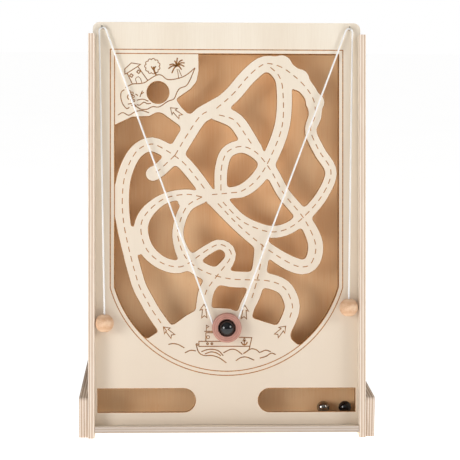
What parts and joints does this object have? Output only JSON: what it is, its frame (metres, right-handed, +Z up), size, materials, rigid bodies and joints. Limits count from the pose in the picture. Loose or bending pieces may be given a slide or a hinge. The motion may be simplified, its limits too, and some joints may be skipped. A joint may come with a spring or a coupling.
{
  "type": "tilt maze game",
  "caption": "Leaning wooden ball maze: a ring on two cords, pulled by knobs, carries a ball up a fretwork board past its holes; fallen balls roll out at the bottom.",
  "frame": {"origin": "on the table, under the middle of the object's bounding box", "axes": "+Z up, +X to the player's right, +Y away from the player; the board leans back 7.5 degrees towards +Y"},
  "size_m": [0.2936, 0.186, 0.4086],
  "materials": {
    "birch": "satin",
    "backing": "matte",
    "beech": "satin",
    "ring_wood": "satin",
    "cord": "matte",
    "steel": "polished",
    "black_gloss": "gloss"
  },
  "bodies": {
    "root": {"maze_board": "birch", "back_panel": "backing", "side_panel_left": "birch", "side_panel_right": "birch", "bottom_rail": "birch", "top_rail": "birch", "trough_floor": "birch", "foot_left": "birch", "foot_right": "birch", "foot_screw_left_front": "steel", "foot_screw_left_rear": "steel", "foot_screw_right_front": "steel", "foot_screw_right_rear": "steel", "screw_eye_left": "steel", "screw_eye_right": "steel"},
    "cords": {"cord_left_diagonal": "cord", "cord_right_diagonal": "cord"},
    "ring": {"ring": "ring_wood"},
    "ring_ball": {"ring_ball": "black_gloss"},
    "strand_left": {"cord_left_strand": "cord"},
    "knob_left": {"knob_left": "beech"},
    "strand_right": {"cord_right_strand": "cord"},
    "knob_right": {"knob_right": "beech"},
    "steel_ball": {"pocket_ball_steel": "steel"},
    "black_ball": {"pocket_ball_black": "black_gloss"}
  },
  "joints": [
    {"name": "ring_shift", "type": "slide", "parent": "root", "child": "cords", "axis": [1, 0, 0], "range_m": [-0.09, 0.09], "deforming": ["cord_left_diagonal", "cord_right_diagonal"]},
    {"name": "ring_lift", "type": "slide", "parent": "cords", "child": "ring", "axis": [0, 0.1305, 0.9914], "range_m": [0, 0.235]},
    {"name": "ball_out", "type": "slide", "parent": "ring", "child": "ring_ball", "axis": [0, -0.9914, 0.1305], "range_m": [0, 0.04]},
    {"name": "knob_left_run", "type": "slide", "parent": "root", "child": "strand_left", "axis": [0, 0.1305, 0.9914], "range_m": [-0.034, 0.034], "deforming": ["cord_left_strand"]},
    {"name": "knob_left_pull", "type": "slide", "parent": "strand_left", "child": "knob_left", "axis": [0, -0.9848, -0.1736], "range_m": [0, 0.3]},
    {"name": "knob_right_run", "type": "slide", "parent": "root", "child": "strand_right", "axis": [0, 0.1305, 0.9914], "range_m": [-0.034, 0.034], "deforming": ["cord_right_strand"]},
    {"name": "knob_right_pull", "type": "slide", "parent": "strand_right", "child": "knob_right", "axis": [0, -0.9848, -0.1736], "range_m": [0, 0.3]},
    {"name": "steel_ball_roll", "type": "slide", "parent": "root", "child": "steel_ball", "axis": [1, 0, 0], "range_m": [-0.223, 0.004]},
    {"name": "black_ball_roll", "type": "slide", "parent": "root", "child": "black_ball", "axis": [1, 0, 0], "range_m": [-0.004, 0.003]}
  ],
  "couplings": [
    {"joint": "knob_left_run", "follows": "ring_shift", "ratio": 0.37},
    {"joint": "knob_right_run", "follows": "ring_shift", "ratio": -0.37},
    {"joint": "knob_left_pull", "follows": "ring_lift", "ratio": 1.27},
    {"joint": "knob_right_pull", "follows": "ring_lift", "ratio": 1.27}
  ]
}
